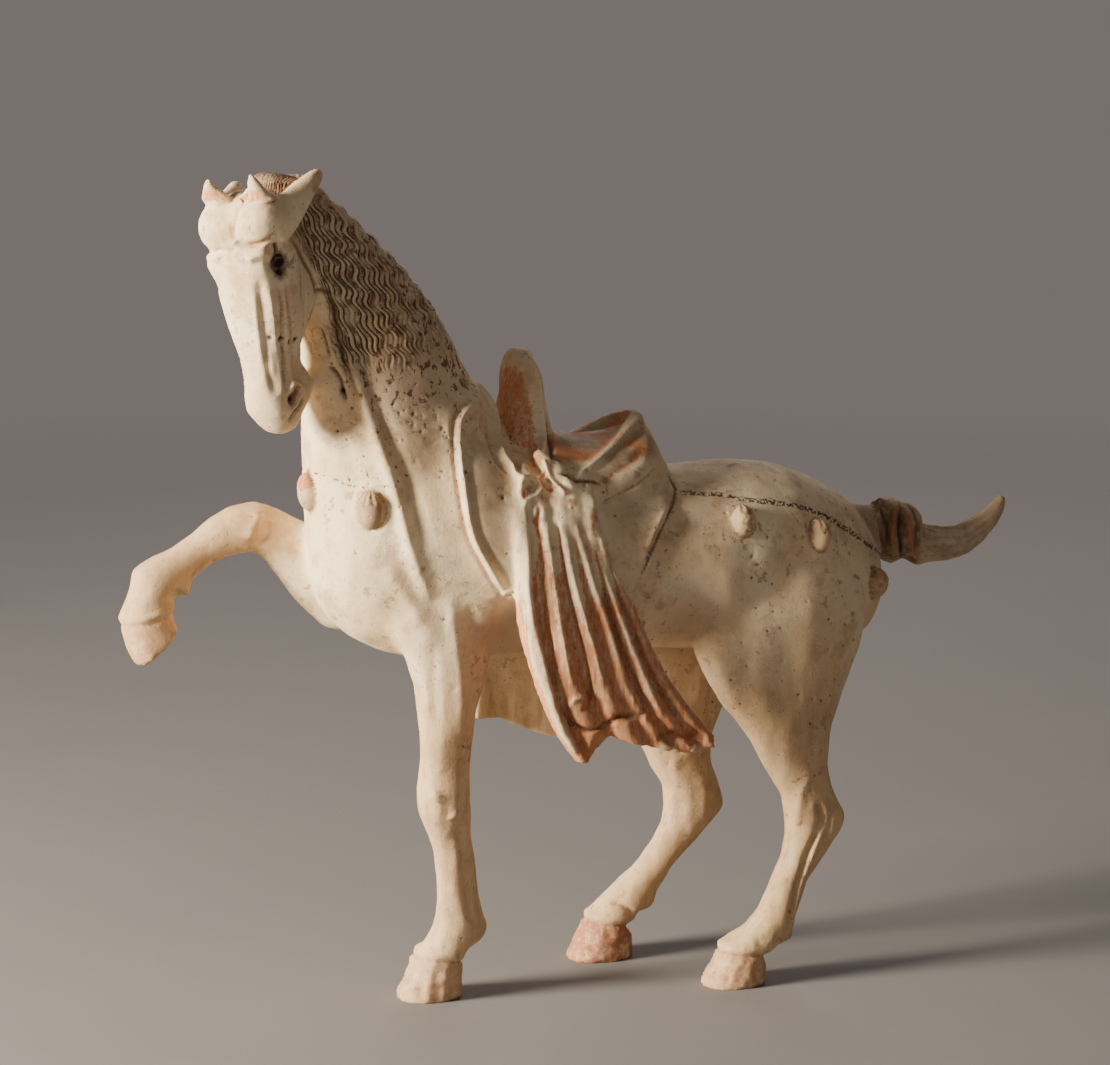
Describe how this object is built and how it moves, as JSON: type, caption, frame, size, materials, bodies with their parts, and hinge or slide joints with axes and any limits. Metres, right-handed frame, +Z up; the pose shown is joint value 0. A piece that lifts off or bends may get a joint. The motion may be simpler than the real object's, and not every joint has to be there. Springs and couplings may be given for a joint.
{
  "type": "pottery horse figure",
  "caption": "Prancing saddled earthenware horse in one moulded piece, head turned and a foreleg raised, cloths hanging from the saddle, standing free on three hooves.",
  "frame": {"origin": "middle of the part's outline on the ground plane, under the three hooves it stands on", "axes": "+Z up, the horse faces -X, its left side is toward -Y"},
  "size_m": [0.5826, 0.1758, 0.519],
  "materials": {
    "fired_clay": "unglazed, matt, worn pale slip with traces of red pigment"
  },
  "bodies": {
    "root": {"pottery_horse": "fired_clay"}
  },
  "joints": []
}
